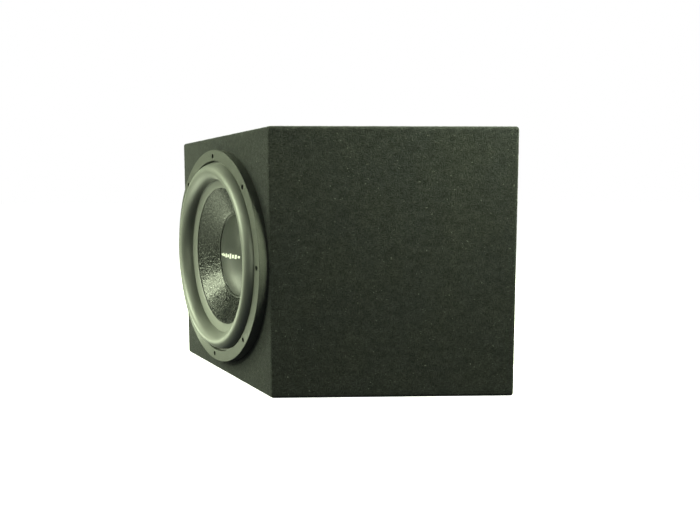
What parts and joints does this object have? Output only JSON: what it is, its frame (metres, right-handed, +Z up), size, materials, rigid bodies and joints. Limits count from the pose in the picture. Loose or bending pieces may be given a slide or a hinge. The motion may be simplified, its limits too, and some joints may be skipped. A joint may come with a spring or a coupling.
{
  "type": "powered car subwoofer",
  "caption": "Carpeted wedge cabinet with a large round bass driver on its slanted face and an amplifier plate with knobs, switches and sockets on the rear.",
  "frame": {"origin": "centre of the footprint's rectangle, on the base face", "axes": "+Z up; +Y towards the amplifier, square to the rear; +X towards the shorter side panel; the driver faces -Y, turned 31.65 degrees towards +X"},
  "size_m": [0.2877, 0.5308, 0.368],
  "materials": {
    "carpet": "charcoal non-woven carpet",
    "board_wood": "raw fibreboard",
    "wadding": "polyester fibre",
    "ring_rubber": "moulded, satin",
    "surround_rubber": "smooth, satin",
    "cone_paper": "pressed, glossy coated",
    "cap_shell": "satin",
    "black_steel": "blackened",
    "gasket_foam": "closed-cell foam",
    "basket_steel": "powder coat",
    "magnet_steel": "zinc plated",
    "ferrite": "sintered, matte",
    "boot_rubber": "moulded",
    "coil_aluminium": "plain",
    "coil_copper": "enamelled copper wire",
    "spider_cloth": "resin-stiffened cotton",
    "lead_copper": "braided tinsel",
    "tag_brass": "tinned brass",
    "phenolic": "laminate",
    "wire_sleeve": "insulation",
    "amp_paint": "fine-textured black",
    "sink_aluminium": "black anodised",
    "board_green": "solder mask",
    "standoff_brass": "turned",
    "capacitor_sleeve": "sleeve",
    "core_winding": "enamelled copper wire",
    "transistor_case": "epoxy",
    "nickel": "nickel plated",
    "black_plastic": "moulded",
    "knob_plastic": "moulded, white pointer",
    "white_plastic": "moulded",
    "red_plastic": "moulded",
    "light_lens": "tinted lens",
    "fuse_plastic": "tinted",
    "socket_white": "nylon"
  },
  "bodies": {
    "enclosure": {"front_baffle": "board_wood", "short_side_panel": "board_wood", "long_side_panel": "board_wood", "rear_panel": "board_wood", "top_panel": "board_wood", "bottom_panel": "board_wood", "cross_brace": "board_wood", "acoustic_wadding": "wadding", "carpet_strip": "carpet", "carpet_short_side": "carpet", "carpet_long_side": "carpet", "carpet_bottom": "carpet", "driver_gasket": "gasket_foam", "driver_basket": "basket_steel", "trim_ring": "ring_rubber", "driver_screws": "black_steel", "surround": "surround_rubber", "spider": "spider_cloth", "top_plate": "magnet_steel", "magnet": "ferrite", "pole_yoke": "magnet_steel", "magnet_boot": "boot_rubber", "terminal_board": "phenolic", "speaker_tags": "tag_brass", "tinsel_leads": "lead_copper", "speaker_wires": "wire_sleeve", "amp_gasket": "gasket_foam", "amp_plate": "amp_paint", "amp_screws": "black_steel", "amp_heatsink": "sink_aluminium", "circuit_board": "board_green", "board_standoffs": "standoff_brass", "capacitors": "capacitor_sleeve", "transformer": "core_winding", "transistors": "transistor_case", "potentiometers": "nickel", "pot_nuts": "nickel", "switch_bodies": "black_plastic", "rca_bodies": "black_plastic", "rca_shells": "nickel", "rca_insulator_left": "white_plastic", "rca_insulator_right": "red_plastic", "high_level_socket": "socket_white", "socket_pins": "tag_brass", "remote_port": "black_plastic", "power_light": "light_lens", "fuse_holder": "black_plastic", "fuses": "fuse_plastic", "power_block": "black_plastic", "terminal_screws": "nickel"},
    "cone": {"cone": "cone_paper", "dust_cap": "cap_shell", "voice_coil_former": "coil_aluminium", "voice_coil_winding": "coil_copper"},
    "gain_knob": {"gain_knob": "knob_plastic"},
    "crossover_knob": {"crossover_knob": "knob_plastic"},
    "bass_knob": {"bass_knob": "knob_plastic"},
    "phase_lever": {"phase_lever": "white_plastic"},
    "auto_lever": {"auto_lever": "white_plastic"}
  },
  "joints": [
    {"name": "cone_slide", "type": "slide", "parent": "enclosure", "child": "cone", "axis": [0.5247, -0.8513, 0], "range_m": [-0.012, 0.012], "stiffness_N_per_m": 4000, "deforming": ["surround", "spider", "tinsel_leads"]},
    {"name": "gain_knob_turn", "type": "hinge", "parent": "enclosure", "child": "gain_knob", "pos_m": [0.084, 0.25514, 0.166], "axis": [0, 1, 0], "range_deg": [-135, 135]},
    {"name": "crossover_knob_turn", "type": "hinge", "parent": "enclosure", "child": "crossover_knob", "pos_m": [0.046, 0.25514, 0.166], "axis": [0, 1, 0], "range_deg": [-135, 135]},
    {"name": "bass_knob_turn", "type": "hinge", "parent": "enclosure", "child": "bass_knob", "pos_m": [0.008, 0.25514, 0.166], "axis": [0, 1, 0], "range_deg": [-270, 0]},
    {"name": "phase_lever_slide", "type": "slide", "parent": "enclosure", "child": "phase_lever", "axis": [-1, 0, 0], "range_m": [0, 0.004]},
    {"name": "auto_lever_slide", "type": "slide", "parent": "enclosure", "child": "auto_lever", "axis": [-1, 0, 0], "range_m": [0, 0.004]}
  ]
}
